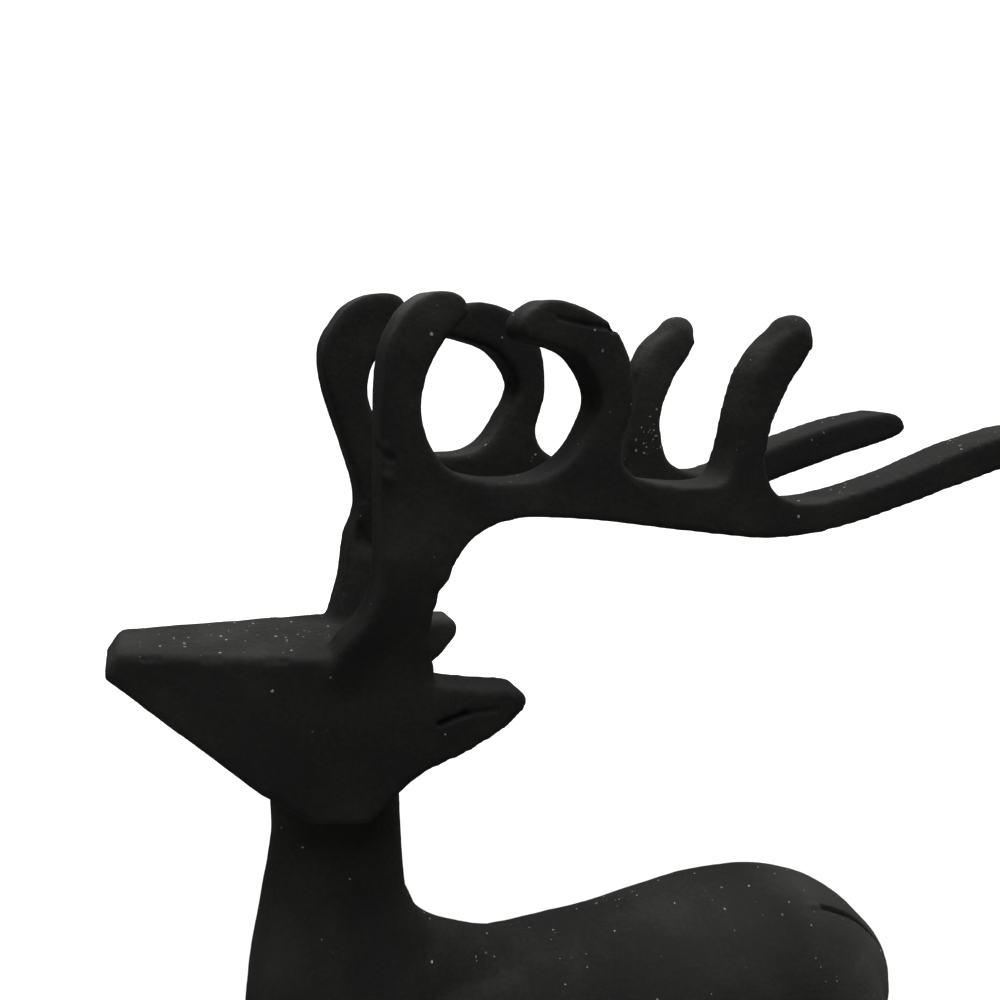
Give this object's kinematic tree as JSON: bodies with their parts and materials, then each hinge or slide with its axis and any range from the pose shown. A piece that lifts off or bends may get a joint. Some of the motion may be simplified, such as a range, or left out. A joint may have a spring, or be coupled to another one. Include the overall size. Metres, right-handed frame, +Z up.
{
  "type": "cast iron stag statue",
  "caption": "Standing stag with swept-back branching antlers, cast in iron and painted matt black, on a low rounded base plate.",
  "frame": {"origin": "centre of the base plate's underside", "axes": "+Z up, the stag faces -X, its left side is -Y"},
  "size_m": [0.2332, 0.0816, 0.3603],
  "materials": {
    "black_iron": "matt black paint over fine sand-cast grain",
    "black_iron_plate": "matt black paint over fine sand-cast grain"
  },
  "bodies": {
    "root": {"stag": "black_iron", "base_plate": "black_iron_plate"}
  },
  "joints": []
}
